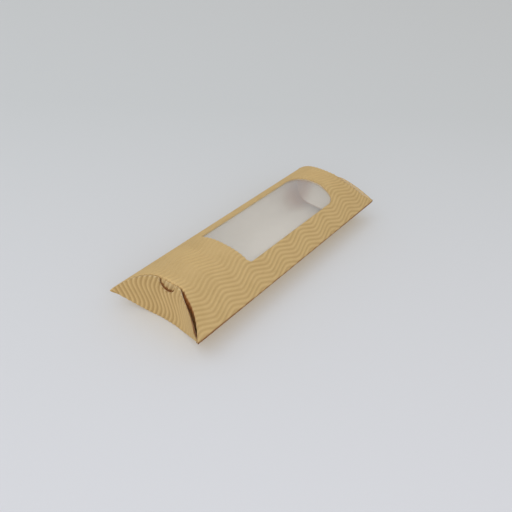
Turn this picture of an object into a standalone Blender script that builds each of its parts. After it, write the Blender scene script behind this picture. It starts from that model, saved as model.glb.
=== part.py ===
"""A pillow-shaped sandwich box of micro-fluted board with a film window.

The blank is two plies, a fluted outer ply and a flat liner. Its top panel and
its belly are bent round into a sleeve, and each end is closed by an outer
flap on the belly's crease and an inner flap on the top panel's crease. The
creases are curved, so each closed flap is dished into the box.

The flutes run along the box in a zigzag. They are followed over the bent
faces by their distance along the paper, so they keep their pitch on a curve.

X runs across the box, Y along it and Z up. The origin is on the surface that
the box stands on, under its middle. The front end is at -Y.
"""
import math

import bmesh
import bpy
import numpy as np

# The sleeve
box_length = 0.220          # between the corners of the two ends
box_width = 0.070           # between the side folds
crown_rise = 0.0171         # from the side folds up to the crown
belly_drop = 0.0139         # from the side folds down to the belly
end_dish = 0.0148           # how far a closed end is dished in at its middle
rest_strip_width = 0.020    # flat strip of the belly that the box stands on
crown_power = 2.6           # 2 is a parabola, and more is squarer
belly_power = 2.0

# The board
flute_web = 0.0005          # left under a groove
flute_rise = 0.0005         # from a groove up to a ridge
flute_pitch = 0.00312
flute_swing = 0.00228       # how far the zigzag goes to each side
flute_period = 0.02975      # length of one zigzag
liner_thickness = 0.0003
ply_gap = 0.0003            # between plies, and between pieces that touch

# One set of flutes runs on from the top panel into its flaps, and one from the belly
# into its own. On the flat blank, the peak is where the zigzag is furthest to +X, the
# offset is where a ridge lies across it, and the drift is sideways per length of flap.
top_flutes = {"peak": 0.0016, "offset": 0.0026, "drift": 0}
belly_flutes = {"peak": -0.0124, "offset": 0.0006, "drift": 0.10}

# Each turn of the zigzag is cut flat, over this share of a period to each side
turn_share = 0.07

# Beside an edge the zigzag and the flutes die out over these lengths, and the last
# flute is this share of half a pitch from it at least
squeeze_reach = 2 * flute_pitch
crush_reach = flute_pitch
edge_share = 0.5

# The window
window_side_margin = 0.0145 # board left between the window and a side fold
window_front = -0.0407      # the front edge, from the middle of the box
window_rear = 0.0721        # the crown of the rear edge
window_rear_bow = 0.0061    # how far the rear edge bows out
window_front_radius = 0.0033
window_rear_radius = 0.0050
film_thickness = 0.0002
film_lap = 0.0045           # how far the film reaches past the window

# The glue seam
tab_thickness = 0.0010
tab_width = 0.0045
tab_end_relief = 0.0120     # how far the tab stops short of each end

# The flaps
outer_flap_clearance = 0.0006   # its free edge stops below the top panel's face
inner_flap_clearance = 0.0006   # its free edge stops above the belly's liner,
inner_flap_side_clearance = 0.0036      # and higher towards its pointed ends
outer_flap_tip = 0.0008     # height at which its pointed ends are cut off
inner_flap_tip = 0.0015
front_inner_lean = math.radians(3)
rear_inner_lean = math.radians(25)
notch_width = 0.0130
notch_depth = 0.0052
notch_offset = -0.0019      # the notch lies a little left of the middle
front_sag = 0.0028          # the front flap's free edge has sagged at its right,
sag_place = 0.61            # most at this share of the half width,
sag_spread = 0.36           # and over this share to each side

# Rows of a fluted flap, from its low edge up, and of a fluted panel's end
outer_flap_shares = (0, 0.15, 0.29, 0.63, 0.77, 1)
inner_flap_shares = (0, 0.16, 0.46, 0.60, 0.74, 1)
panel_end_shares = (0, 0.33, 0.67)

# How finely curves are drawn
panel_steps = 28
flap_steps = 28
arc_steps = 8
notch_steps = 24
dense_steps = 1400
settling_turns = 2          # a flute's place and its row's place depend on each other
cut_overrun = 0.002

flute_thickness = flute_rise + flute_web
board_thickness = flute_thickness + ply_gap + liner_thickness
half_width = box_width / 2
half_length = box_length / 2
half_window = half_width - window_side_margin

# Materials: colour, roughness, alpha
finishes = {
    "kraft_fluting": ((0.53, 0.37, 0.19), 0.85, 1.0),
    "pale_liner": ((0.62, 0.59, 0.54), 0.80, 1.0),
    "clear_film": ((0.90, 0.92, 0.93), 0.12, 0.25),
}

# Places across the box, from side fold to side fold, at which the curves are worked out
dense_x = np.linspace(-half_width, half_width, dense_steps + 1)


def clear_scene():
    for thing in list(bpy.data.objects):
        bpy.data.objects.remove(thing, do_unlink=True)


def make_material(name):
    colour, roughness, alpha = finishes[name]
    material = bpy.data.materials.new(name)
    material.use_nodes = True
    shader = material.node_tree.nodes["Principled BSDF"]
    shader.inputs["Base Color"].default_value = (*colour, 1.0)
    shader.inputs["Roughness"].default_value = roughness
    shader.inputs["Metallic"].default_value = 0.0
    shader.inputs["Alpha"].default_value = alpha
    return material


def crown_share(x):
    """1 at the middle of the top panel and 0 at its side folds."""
    return 1 - np.abs(x / half_width) ** crown_power


def belly_share(x):
    """1 over the flat resting strip, falling to 0 at the side folds."""
    strip = rest_strip_width / 2
    out = np.maximum(np.abs(x) - strip, 0) / (half_width - strip)
    return 1 - out ** belly_power


def offset_curve(values, depth):
    """The curve (dense_x, values) moved square to itself by depth."""
    slope = np.gradient(values, dense_x)
    size = np.hypot(slope, 1)
    return dense_x - depth * slope / size, values + depth / size


def top_height(x, depth):
    """Height of the top panel's surface that lies depth under its face."""
    across, up = offset_curve(belly_drop + crown_rise * crown_share(dense_x), -depth)
    return np.interp(x, across, up)


def belly_height(x, depth):
    """Height of the belly's surface that lies depth above its outer face."""
    across, up = offset_curve(belly_drop * (1 - belly_share(dense_x)), depth)
    return np.interp(x, across, up)


def end_place(x, depth):
    """Y of the front end's dished surface, depth inside its outer face."""
    across, along = offset_curve(-half_length + end_dish * crown_share(dense_x), depth)
    return np.interp(x, across, along)


def where(rising, level):
    """The widest x at which rising(x) is still over level."""
    inside = dense_x[rising(dense_x) > level]
    return inside.max()


def solid_object(name, mesh, origin):
    """The closed mesh as an object, with its faces outward."""
    bmesh.ops.recalc_face_normals(mesh, faces=mesh.faces)
    if mesh.calc_volume(signed=True) < 0:
        bmesh.ops.reverse_faces(mesh, faces=mesh.faces)
    data = bpy.data.meshes.new(name)
    mesh.to_mesh(data)
    mesh.free()
    thing = bpy.data.objects.new(name, data)
    thing.location = origin
    bpy.context.scene.collection.objects.link(thing)
    return thing


def loft(name, sections, material, origin=(0, 0, 0)):
    """One closed solid through a row of four-cornered sections."""
    mesh = bmesh.new()
    rings = []
    for section in sections - np.array(origin):
        rings.append([mesh.verts.new(point) for point in section])
    for ring, following in zip(rings, rings[1:]):
        for i in range(4):
            j = (i + 1) % 4
            mesh.faces.new((ring[i], ring[j], following[j], following[i]))
    mesh.faces.new(rings[0])
    mesh.faces.new(rings[-1])
    thing = solid_object(name, mesh, origin)
    thing.data.materials.append(material)
    return thing


def fluted_sheet(name, outer, inner, material, origin=(0, 0, 0)):
    """One closed solid between a grid of rows and a plain face of two rows."""
    mesh = bmesh.new()
    rows = [[mesh.verts.new(point) for point in row] for row in outer - np.array(origin)]
    plain = [[mesh.verts.new(point) for point in row] for row in inner - np.array(origin)]
    pairs = list(zip(rows, rows[1:])) + [(plain[0], plain[1])]
    pairs += [(rows[0], plain[0]), (rows[-1], plain[1])]
    for row, following in pairs:
        for i in range(len(row) - 1):
            mesh.faces.new((row[i], row[i + 1], following[i + 1], following[i]))
    for side in (0, -1):
        edge = [row[side] for row in rows]
        mesh.faces.new(edge + [plain[1][side], plain[0][side]])
    thing = solid_object(name, mesh, origin)
    thing.data.materials.append(material)
    return thing


def prism(name, outline, low, high, axis_order):
    """A cutter: a closed outline, in two axes, drawn along the third."""
    mesh = bmesh.new()
    lower = [mesh.verts.new(place_point(point, low, axis_order)) for point in outline]
    upper = [mesh.verts.new(place_point(point, high, axis_order)) for point in outline]
    count = len(outline)
    for i in range(count):
        j = (i + 1) % count
        mesh.faces.new((lower[i], lower[j], upper[j], upper[i]))
    mesh.faces.new(lower)
    mesh.faces.new(upper)
    thing = solid_object(name, mesh, (0, 0, 0))
    thing.hide_render = True
    thing.display_type = "WIRE"
    return thing


def place_point(point, along, axis_order):
    """Outline coordinates and the place along the prism, put in X, Y, Z."""
    values = dict(zip(axis_order, (point[0], point[1], along)))
    return values["X"], values["Y"], values["Z"]


def cut(thing, cutter):
    boolean = thing.modifiers.new("cut", "BOOLEAN")
    boolean.operation = "DIFFERENCE"
    boolean.solver = "EXACT"
    boolean.object = cutter


def arc(centre, radius, start, end, steps):
    """Points of a circular arc, both ends included."""
    turns = np.linspace(start, end, steps + 1)
    return [(centre[0] + radius * math.cos(t), centre[1] + radius * math.sin(t)) for t in turns]


def window_outline():
    """A straight front edge, straight sides and a bowed rear edge."""
    half = half_window
    bow_radius = (half ** 2 + window_rear_bow ** 2) / (2 * window_rear_bow)
    bow_centre = window_rear - bow_radius
    rear_x = half - window_rear_radius
    rear_y = bow_centre + math.sqrt((bow_radius - window_rear_radius) ** 2 - rear_x ** 2)
    lean = math.atan2(rear_y - bow_centre, rear_x)
    front_x = half - window_front_radius
    front_y = window_front + window_front_radius
    right_angle = math.pi / 2
    points = arc((front_x, front_y), window_front_radius, -right_angle, 0, arc_steps)
    points += arc((rear_x, rear_y), window_rear_radius, 0, lean, arc_steps)
    points += arc((0, bow_centre), bow_radius, lean, math.pi - lean, 2 * arc_steps)[1:-1]
    points += arc((-rear_x, rear_y), window_rear_radius, math.pi - lean, math.pi, arc_steps)
    points += arc((-front_x, front_y), window_front_radius, math.pi, 3 * right_angle, arc_steps)
    return points


def paper_length(values):
    """Length along the curve (dense_x, values), from its middle."""
    steps = np.hypot(np.diff(dense_x), np.diff(values))
    length = np.concatenate([[0], np.cumsum(steps)])
    return length - np.interp(0, dense_x, length)


def zigzag(along, peak):
    """Sideways place of a flute, along its length."""
    turns = (along - peak) / flute_period
    triangle = 1 - 4 * np.abs(turns - np.round(turns))
    return flute_swing * np.clip(triangle / (1 - 4 * turn_share), -1, 1)


def flute_columns(reach, plain_half, offset):
    """Places of the ridges and grooves across a sheet, from edge to edge.

    With them go two shares: how deep each is cut, which is 0 for a ridge, and how
    much of the zigzag it follows, which is 0 on an edge and on a plain middle strip.
    """
    half_pitch = flute_pitch / 2
    first = math.ceil((edge_share * half_pitch - reach - offset) / half_pitch)
    last = math.floor((reach - edge_share * half_pitch - offset) / half_pitch)
    number = np.arange(first, last + 1)
    place = np.concatenate([[-reach], offset + half_pitch * number, [reach]])
    groove = np.concatenate([[0], number % 2, [0]])
    room = reach - np.abs(place)
    if plain_half > 0:
        room = np.minimum(room, np.maximum(np.abs(place) - plain_half, 0))
    groove = groove * np.clip(room / crush_reach, 0, 1)
    return place, groove, np.clip(room / squeeze_reach, 0, 1)


def turn_rows(reach, peak):
    """Places along a panel where its zigzag starts or ends a turn."""
    count = int(2 * reach / flute_period) + 1
    middles = peak + flute_period * np.arange(-count, count + 1) / 2
    rows = np.sort(np.concatenate([middles - flute_period * turn_share,
                                   middles + flute_period * turn_share]))
    return rows[np.abs(rows) < reach]


def fluted_panel(name, height, reach, plain_half, end_depth, flutes, material):
    """The fluted ply of a panel. reach is its half width at its outer and inner face."""
    length = paper_length(height(dense_x, 0))
    edge = np.interp(reach[0], dense_x, length)
    place, groove, follows = flute_columns(edge, plain_half, flutes["offset"])
    middle = turn_rows(half_length - end_dish - flute_pitch, flutes["peak"])
    ends = np.array(panel_end_shares)[:, None]
    x = np.interp(place + np.zeros((2, 1)), length, dense_x)
    for _ in range(settling_turns):
        first, last = end_place(x[0], end_depth), -end_place(x[-1], end_depth)
        y = np.concatenate([first + ends * (middle[0] - first),
                            middle[:, None] + np.zeros_like(place),
                            last + ends[::-1] * (middle[-1] - last)])
        x = np.interp(place + zigzag(y, flutes["peak"]) * follows, length, dense_x)
    z = height(x, 0) + groove * (height(x, flute_rise) - height(x, 0))
    inner_x = x[[0, -1]] * reach[1] / reach[0]
    inner_y = end_place(inner_x, end_depth) * np.array([[1], [-1]])
    inner = np.stack([inner_x, inner_y, height(inner_x, flute_thickness)], axis=2)
    return fluted_sheet(name, np.stack([x, y, z], axis=2), inner, material)


def panel_sections(height, depths, reach, end_depth):
    """Sections of a panel's ply between two depths, across the box."""
    shares = np.linspace(-1, 1, panel_steps + 1)
    sections = np.empty((panel_steps + 1, 4, 3))
    for side, (depth, widest) in enumerate(zip(depths, reach)):
        x = widest * shares
        front = end_place(x, end_depth)
        z = height(x, depth)
        first, second = (0, 1) if side == 0 else (3, 2)
        sections[:, first] = np.stack([x, front, z], axis=1)
        sections[:, second] = np.stack([x, -front, z], axis=1)
    return sections


def make_top_panel(kraft, liner):
    """Both plies of the top panel, mitred against the belly at the side folds."""
    end_depth = board_thickness + ply_gap
    window = prism("window_cutter", window_outline(), belly_drop,
                   belly_drop + crown_rise + cut_overrun, "XYZ")
    fold = belly_drop + ply_gap / 2
    depths = (0, flute_thickness, flute_thickness + ply_gap, board_thickness)
    reach = [where(lambda x: top_height(x, depth), fold) for depth in depths]
    fluting = fluted_panel("top_panel_fluting", top_height, reach[:2], 0, end_depth,
                           top_flutes, kraft)
    lining = loft("top_panel_liner",
                  panel_sections(top_height, depths[2:], reach[2:], end_depth), liner)
    cut(fluting, window)
    cut(lining, window)


def make_belly(kraft, liner):
    """Both plies of the belly, up to the side folds."""
    end_depth = board_thickness + ply_gap
    fold = belly_drop - ply_gap / 2
    depths = (0, flute_thickness, flute_thickness + ply_gap, board_thickness)
    reach = [where(lambda x: -belly_height(x, depth), -fold) for depth in depths]
    fluted_panel("bottom_panel_fluting", belly_height, reach[:2], rest_strip_width / 2,
                 end_depth, belly_flutes, kraft)
    loft("bottom_panel_liner",
         panel_sections(belly_height, depths[2:], reach[2:], end_depth), liner)


def strip_sections(depths, inner_edge, outer_edges, front, rear):
    """Sections of a strip under the top panel, between two places along X."""
    sections = np.empty((panel_steps + 1, 4, 3))
    for side, (depth, outer_edge) in enumerate(zip(depths, outer_edges)):
        x = np.linspace(inner_edge, outer_edge, panel_steps + 1)
        z = top_height(x, depth)
        first, second = (0, 1) if side == 0 else (3, 2)
        sections[:, first] = np.stack([x, front(x), z], axis=1)
        sections[:, second] = np.stack([x, rear(x), z], axis=1)
    return sections


def make_window_film(film):
    """The film sheet, glued under the liner round the window."""
    upper = board_thickness + ply_gap
    half = half_window + film_lap
    sections = strip_sections((upper, upper + film_thickness), -half, (half, half),
                              lambda x: np.full_like(x, window_front - film_lap),
                              lambda x: np.full_like(x, window_rear + film_lap))
    loft("window_film", sections, film)


def make_glue_tab(liner):
    """The belly's tab, folded up and glued under the top panel's right edge."""
    upper = board_thickness + ply_gap
    depths = (upper, upper + tab_thickness)
    outer_edges = []
    for depth in depths:
        room = lambda x: top_height(x, depth) - belly_height(x, board_thickness)
        outer_edges.append(where(room, ply_gap))
    inner_edge = max(outer_edges) - tab_width
    front = lambda x: end_place(x, upper) + tab_end_relief
    rear = lambda x: -end_place(x, upper) - tab_end_relief
    sections = strip_sections(depths, inner_edge, outer_edges, front, rear)
    loft("glue_tab", sections, liner)


def flap_sections(depths, low, high, tip, lean, end_sign):
    """Sections of a flap's ply between two depths of the dished end."""
    x = tip * np.linspace(-1, 1, flap_steps + 1)
    bottom = high(x) - (high(x) - low(x)) * math.cos(lean)
    sections = np.empty((flap_steps + 1, 4, 3))
    for side, depth in enumerate(depths):
        place = end_place(x, depth)
        swing = (high(x) - bottom) * math.tan(lean)
        first, second = (0, 1) if side == 0 else (3, 2)
        sections[:, first] = np.stack([x, -end_sign * (place + swing), bottom], axis=1)
        sections[:, second] = np.stack([x, -end_sign * place, high(x)], axis=1)
    return sections


def fluted_flap(name, depths, low, high, tip, lean, end_sign, from_top, material, hinge):
    """The fluted ply of a flap. from_top says that it hangs on the top panel's crease."""
    flutes = top_flutes if from_top else belly_flutes
    shares = np.array(inner_flap_shares if from_top else outer_flap_shares)[:, None]
    length = paper_length(end_place(dense_x, depths[0]))
    edge = np.interp(tip, dense_x, length)
    place, groove, follows = flute_columns(edge, 0, flutes["offset"])
    x = np.interp(place, length, dense_x)
    for _ in range(settling_turns):
        from_crease = (high(x) - low(x)) * (1 - shares if from_top else shares)
        along = end_sign * (from_crease - end_place(x, depths[0]))
        shift = zigzag(along, flutes["peak"]) - flutes["drift"] * from_crease
        x = np.interp(place + shift * follows, length, dense_x)
    down = (high(x) - low(x)) * (1 - shares) * math.cos(lean)
    ridges = end_place(x, depths[0])
    grooves = end_place(x, depths[0] + flute_rise / math.cos(lean))
    y = ridges + groove * (grooves - ridges) + down * math.tan(lean)
    outer = np.stack([x, -end_sign * y, high(x) - down], axis=2)
    inner_y = end_place(x, depths[1]) + down * math.tan(lean)
    inner = np.stack([x, -end_sign * inner_y, high(x) - down], axis=2)[[0, -1]]
    return fluted_sheet(name, outer, inner, material, hinge)


def sag_share(x):
    """1 where the flap's edge has sagged most, and 0 from the notch to the left."""
    away = (x / half_width - sag_place) / sag_spread
    return np.clip(1 - away ** 2, 0, 1)


def make_outer_flap(end, end_sign, sag, kraft, liner):
    """The closing flap, hinged on the belly's crease, with its thumb notch."""
    low = lambda x: belly_height(x, 0)
    high = lambda x: top_height(x, 0) - outer_flap_clearance - sag * sag_share(x)
    hinge = (0, -end_sign * end_place(0, 0), low(0))
    crest = high(0)
    turns = np.linspace(0, 2 * math.pi, notch_steps, endpoint=False)
    outline = [(notch_offset + notch_width / 2 * math.cos(t), crest + notch_depth * math.sin(t))
               for t in turns]
    ends = sorted([-end_sign * (end_place(0, 0) - cut_overrun),
                   -end_sign * (end_place(0, 0) + board_thickness + cut_overrun)])
    notch = prism(end + "_notch_cutter", outline, ends[0], ends[1], "XZY")
    tip = where(lambda x: high(x) - low(x), outer_flap_tip)
    fluting = fluted_flap(end + "_outer_flap_fluting", (0, flute_thickness), low, high, tip, 0,
                          end_sign, False, kraft, hinge)
    depths = (flute_thickness + ply_gap, board_thickness)
    sections = flap_sections(depths, low, high, tip, 0, end_sign)
    lining = loft(end + "_outer_flap_liner", sections, liner, hinge)
    cut(fluting, notch)
    cut(lining, notch)


def make_inner_flap(end, end_sign, lean, kraft, liner):
    """The flap behind it, hinged on the top panel's crease."""
    start = board_thickness + ply_gap
    spread = inner_flap_side_clearance - inner_flap_clearance
    room = lambda x: inner_flap_clearance + spread * (1 - crown_share(x))
    low = lambda x: belly_height(x, board_thickness) + room(x)
    high = lambda x: top_height(x, board_thickness) - ply_gap
    hinge = (0, -end_sign * end_place(0, start + board_thickness), high(0))
    depths = (0, flute_thickness, flute_thickness + ply_gap, board_thickness)
    depths = [start + depth / math.cos(lean) for depth in depths]
    tip = where(lambda x: high(x) - low(x), inner_flap_tip)
    fluted_flap(end + "_inner_flap_fluting", depths[:2], low, high, tip, lean, end_sign, True,
                kraft, hinge)
    sections = flap_sections(depths[2:], low, high, tip, lean, end_sign)
    loft(end + "_inner_flap_liner", sections, liner, hinge)


def main():
    clear_scene()
    kraft = make_material("kraft_fluting")
    liner = make_material("pale_liner")
    film = make_material("clear_film")
    make_top_panel(kraft, liner)
    make_belly(kraft, liner)
    make_window_film(film)
    make_glue_tab(liner)
    make_outer_flap("front", -1, front_sag, kraft, liner)
    make_outer_flap("rear", 1, 0, kraft, liner)
    make_inner_flap("front", -1, front_inner_lean, kraft, liner)
    make_inner_flap("rear", 1, rear_inner_lean, kraft, liner)


main()
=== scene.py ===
import math

import bpy
import numpy as np
from mathutils import Matrix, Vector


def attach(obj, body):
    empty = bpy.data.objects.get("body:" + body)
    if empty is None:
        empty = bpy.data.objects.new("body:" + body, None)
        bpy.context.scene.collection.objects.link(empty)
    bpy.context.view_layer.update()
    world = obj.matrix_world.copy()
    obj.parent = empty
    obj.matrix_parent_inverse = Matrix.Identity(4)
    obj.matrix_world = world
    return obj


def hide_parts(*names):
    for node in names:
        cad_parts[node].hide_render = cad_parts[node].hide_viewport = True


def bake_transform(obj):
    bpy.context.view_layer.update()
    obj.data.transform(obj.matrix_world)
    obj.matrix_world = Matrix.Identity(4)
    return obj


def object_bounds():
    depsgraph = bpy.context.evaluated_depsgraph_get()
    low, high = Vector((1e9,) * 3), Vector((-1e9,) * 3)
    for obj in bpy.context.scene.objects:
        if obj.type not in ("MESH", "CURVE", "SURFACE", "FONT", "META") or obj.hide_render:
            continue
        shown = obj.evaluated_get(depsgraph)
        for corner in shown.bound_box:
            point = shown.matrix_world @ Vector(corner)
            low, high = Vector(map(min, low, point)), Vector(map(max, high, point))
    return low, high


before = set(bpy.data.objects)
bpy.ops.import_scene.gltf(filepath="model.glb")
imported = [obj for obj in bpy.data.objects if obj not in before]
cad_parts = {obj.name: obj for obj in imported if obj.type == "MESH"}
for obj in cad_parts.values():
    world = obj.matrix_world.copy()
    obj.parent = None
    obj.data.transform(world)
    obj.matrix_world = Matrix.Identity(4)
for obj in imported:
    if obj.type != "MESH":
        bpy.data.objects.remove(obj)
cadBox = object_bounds()
mm = 0.001

# The box: X across it, Y along it, Z up. The front end is at -Y.
sleeve = {
    "halfWidth": 35 * mm,
    "halfLength": 110 * mm,
    "crownRise": 17.1 * mm,   # from the side folds up to the crown
    "crownPower": 2.6,
    "bellyDrop": 13.9 * mm,   # from the side folds down to the belly
    "stripHalf": 10 * mm,     # half of the flat strip that the box stands on
    "endDish": 14.8 * mm,     # how far a closed end is dished in
    "foldRadius": 0.9 * mm,
    "foldSteps": 12,
    "seamReach": 34.85 * mm,  # the top panel's raw edge at the glued seam
    "seamPlumb": 2.0 * mm,    # its cut face is turned plumb over this length
    "seamDepth": 0.9 * mm,    # the belly's fold lies this far under the top face there,
    "seamTurn": 70,           # and turns in as far as this angle
    "seamSteps": 16,
    "denseSteps": 1600,       # places across where the curves are worked out
}

# The curved creases at the two ends
crease = {
    "radius": 1.25 * mm,
    "run": 0.55 * mm,     # the wall goes on this far past the turn
    "radiusLimit": 0.45,  # as shares of the box's height there, neither is more
    "runLimit": 0.2,
    "steps": 7,
}

# The board: a corrugated ply glued to a flat liner
board = {
    "fluteRise": 0.5 * mm,
    "paper": 0.7 * mm,
    "linerTop": 1.3 * mm,
    "linerBottom": 1.6 * mm,
    "panelInset": 1.9 * mm,   # the top panel and inner flaps lie this far inside the outer ones
    "liningInset": 1.5 * mm,  # the liner stops this far short of the end creases,
    "liningRoom": 2.4 * mm,   # and this far short of the side folds
}

# The top panel is pressed thinner, because the film is glued under it
pressedBoard = {
    "paper": 0.45 * mm,
    "linerTop": 1.0 * mm,
    "linerBottom": 1.25 * mm,
}

# The top panel is pulled out over the flaps, forward at its right and backward at its left
pull = {
    "start": 9 * mm,      # at the front, from here across,
    "full": 16 * mm,      # and all of it from here on
    "rearFull": 3 * mm,   # at the rear, all of it as far as here across,
    "rearEnd": 13 * mm,   # and nothing from here on
    "radius": 0.75 * mm,  # it is folded sharper there,
    "runLoss": 0.9,       # and its wall is shorter by this share
    "fade": 45 * mm,      # the pull dies out over this length of the panel
    "tipStart": 29 * mm,  # past this place both panels run out into the tips,
    "tipFull": 34 * mm,   # all the way from here on
    "liningShare": 0.4,   # the liner follows it by this share
    "shade": 0.45,        # how dark its wall is, over the gap
    "shadeReach": 0.8 * mm,
}

# The flutes run along the box in a rounded zigzag
flutes = {
    "pitch": 3.12 * mm,
    "swing": 2.28 * mm,
    "period": 29.75 * mm,
    "roundness": 0.86,        # 1 is a sharp zigzag
    "crushAtFold": 0.42,      # share of the rise that is left on a crease
    "crushReach": 2.6 * mm,
    "creaseWidth": 0.4 * mm,  # the crease's own, added to the distance from it
    "crushAtEdge": 0.5,       # the share left on a free edge, over the length that follows
    "edgeReach": 1.0 * mm,
    "samplesPerFlute": 10,
    "panelLinerStep": 4,      # the flat liners need only every fourth of these places,
    "flapLinerStep": 3,       # and every third in the flaps
}
fluteStep = flutes["pitch"] / flutes["samplesPerFlute"]

# On the flat blank, one set of flutes runs on from the top panel into the inner flaps,
# and another from the belly into the outer flaps
topFlutes = {"peak": 1.6 * mm, "offset": 2.6 * mm}
bellyFlutes = {"peak": -102.6 * mm, "offset": 1.08 * mm}


def crownShare(x):
    # 1 at the middle, falling to 0 at the side folds
    return 1 - np.abs(np.clip(x / sleeve["halfWidth"], -1, 1)) ** sleeve["crownPower"]


def topFace(x):
    return sleeve["bellyDrop"] + sleeve["crownRise"] * crownShare(x)


def bellyFace(x):
    # flat over the resting strip, then a parabola up to the side folds
    out = np.maximum(np.abs(x) - sleeve["stripHalf"], 0)
    return sleeve["bellyDrop"] * (out / (sleeve["halfWidth"] - sleeve["stripHalf"])) ** 2


def endFace(x):
    return -sleeve["halfLength"] + sleeve["endDish"] * crownShare(x)


denseX = np.linspace(-sleeve["halfWidth"], sleeve["halfWidth"], sleeve["denseSteps"] + 1)


def movedCurve(curve, x, depth):
    # each point of the curve moves square to it by the depth
    values = curve(denseX)
    slope = np.gradient(values, denseX)
    size = np.hypot(slope, 1)
    return np.interp(x, denseX - depth * slope / size, values + depth / size)


def topAt(x, depth):
    return movedCurve(topFace, x, -depth)


def bellyAt(x, depth):
    return movedCurve(bellyFace, x, depth)


def endAt(x, depth):
    return movedCurve(endFace, x, depth)


def slopeOf(curve, x, *depth):
    step = 0.05 * mm
    return (curve(x + step, *depth) - curve(x - step, *depth)) / (2 * step)


def smooth(share):
    share = np.clip(share, 0, 1)
    return share * share * (3 - 2 * share)


def nearShare(distance, reach):
    # 1 at no distance, falling to 0 at the reach
    return np.clip(1 - np.abs(distance) / reach, 0, 1)


def wayShare(x, start, full):
    # 0 at the start, rising to 1 where it is full
    return np.clip((x - start) / (full - start), 0, 1)


def fadeOut(distance, reach, core):
    # softly from 1 to 0 at the reach, staying 1 for longer with a larger core
    return smooth(core - core * distance / reach)


def forwardShare(x):
    return smooth(wayShare(x, pull["start"], pull["full"]))


def rearShare(x):
    return smooth(wayShare(x, pull["rearEnd"], pull["rearFull"]))


def tipShare(x):
    return smooth(wayShare(np.abs(x), pull["tipStart"], pull["tipFull"]))


def unit(vectors):
    return vectors / np.maximum(np.linalg.norm(vectors, axis=-1, keepdims=True), 1e-12)


def foldCentre(topDepth, bellyDepth):
    # the point inside the right fold that lies at these depths from the two faces
    gap = topAt(denseX, topDepth) - bellyAt(denseX, bellyDepth)
    x = denseX[gap > 0].max()
    return np.array([x, topAt(x, topDepth)])


def turnedPoints(centre, radius, start, stop, steps):
    # points of an arc about the centre, angles from the +X axis
    turn = np.linspace(start, stop, steps)
    return centre + radius * np.stack([np.cos(turn), np.sin(turn)], axis=1)


def facePoints(curve, outward):
    # the points of a face across the box, and the normal on its outward side
    normal = outward * np.stack([-slopeOf(curve, denseX), np.ones_like(denseX)], axis=1)
    return np.stack([denseX, curve(denseX)], axis=1), unit(normal)


def foldMeeting(face, normal, centre, radius):
    # the point where the face runs into the fold about this centre, and its angle
    at = np.argmin(np.hypot(*(face - radius * normal - centre).T))
    return at, math.atan2(normal[at, 1], normal[at, 0])


def paperLine(points, outward):
    # arc length from the middle, the points, and the normal on the outward side
    step = np.linalg.norm(np.diff(points, axis=0), axis=1)
    arc = np.concatenate([[0], np.cumsum(step)])
    arc -= arc[np.argmin(np.abs(points[:, 0]))]
    tangent = unit(np.gradient(points, arc, axis=0))
    normal = outward * np.stack([-tangent[:, 1], tangent[:, 0]], axis=1)
    return {"arc": arc, "points": points, "normal": normal}


def sampleLine(line, arc):
    points, normal = (np.stack([np.interp(arc, line["arc"], line[key][:, i]) for i in (0, 1)], -1)
                      for key in ("points", "normal"))
    return points, unit(normal)


def topLine():
    # upper half of the left fold, then the crown as far as its raw edge at the right
    radius = sleeve["foldRadius"]
    left = foldCentre(radius, radius) * (-1, 1)
    face, normal = facePoints(topFace, 1)
    start, turn = foldMeeting(face, normal, left, radius)
    stop = np.searchsorted(denseX, sleeve["seamReach"])
    fold = turnedPoints(left, radius, math.pi, turn, sleeve["foldSteps"])
    line = paperLine(np.concatenate([fold[:-1], face[start:stop]]), 1)
    plumb = nearShare(line["arc"][-1] - line["arc"], sleeve["seamPlumb"])[:, None]
    line["normal"] = unit(line["normal"] * (1 - plumb) + np.array([0, 1]) * plumb)
    return line


def bellyLine():
    # lower half of the left fold, the belly, and the right fold, turned in under the top panel
    radius = sleeve["foldRadius"]
    left = foldCentre(radius, radius) * (-1, 1)
    right = foldCentre(sleeve["seamDepth"] + radius, radius)
    face, normal = facePoints(bellyFace, -1)
    start, leftTurn = foldMeeting(face, normal, left, radius)
    stop, rightTurn = foldMeeting(face, normal, right, radius)
    inTurn = math.radians(sleeve["seamTurn"])
    return paperLine(np.concatenate([
        turnedPoints(left, radius, -math.pi, leftTurn, sleeve["foldSteps"])[:-1],
        face[start:stop + 1],
        turnedPoints(right, radius, rightTurn, inTurn, sleeve["seamSteps"])[1:]]), -1)


def zigzag(along, peak):
    # a triangle wave with rounded turns, furthest to +X where along is peak
    turn = 2 * math.pi * (along - peak) / flutes["period"]
    sharp = flutes["roundness"]
    return flutes["swing"] * np.arcsin(sharp * np.cos(turn)) / math.asin(sharp)


def ridgeShare(arc, along, blank):
    # 1 on a ridge and 0 in a groove, from lengths on the flat blank
    phase = (arc - blank["offset"] - zigzag(along, blank["peak"])) / flutes["pitch"]
    return 0.5 + 0.5 * np.cos(2 * math.pi * phase)


def crush(distance):
    # share of the flute's rise that is left at this distance from a crease
    left = flutes["crushAtFold"]
    return left + (1 - left) * smooth(distance / flutes["crushReach"])


def spaced(start, stop, step):
    return np.linspace(start, stop, max(2, int(round(abs(stop - start) / step)) + 1))


def rowShares(length, step):
    # a column of shares from 0 to 1, about this step of the length apart
    return (spaced(0, length, step) / length)[:, None]


def addObject(name, data):
    thing = bpy.data.objects.new(name, data)
    bpy.context.scene.collection.objects.link(thing)
    return thing


sharpAngle = 48  # an edge between faces that turn by more stays sharp


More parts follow.
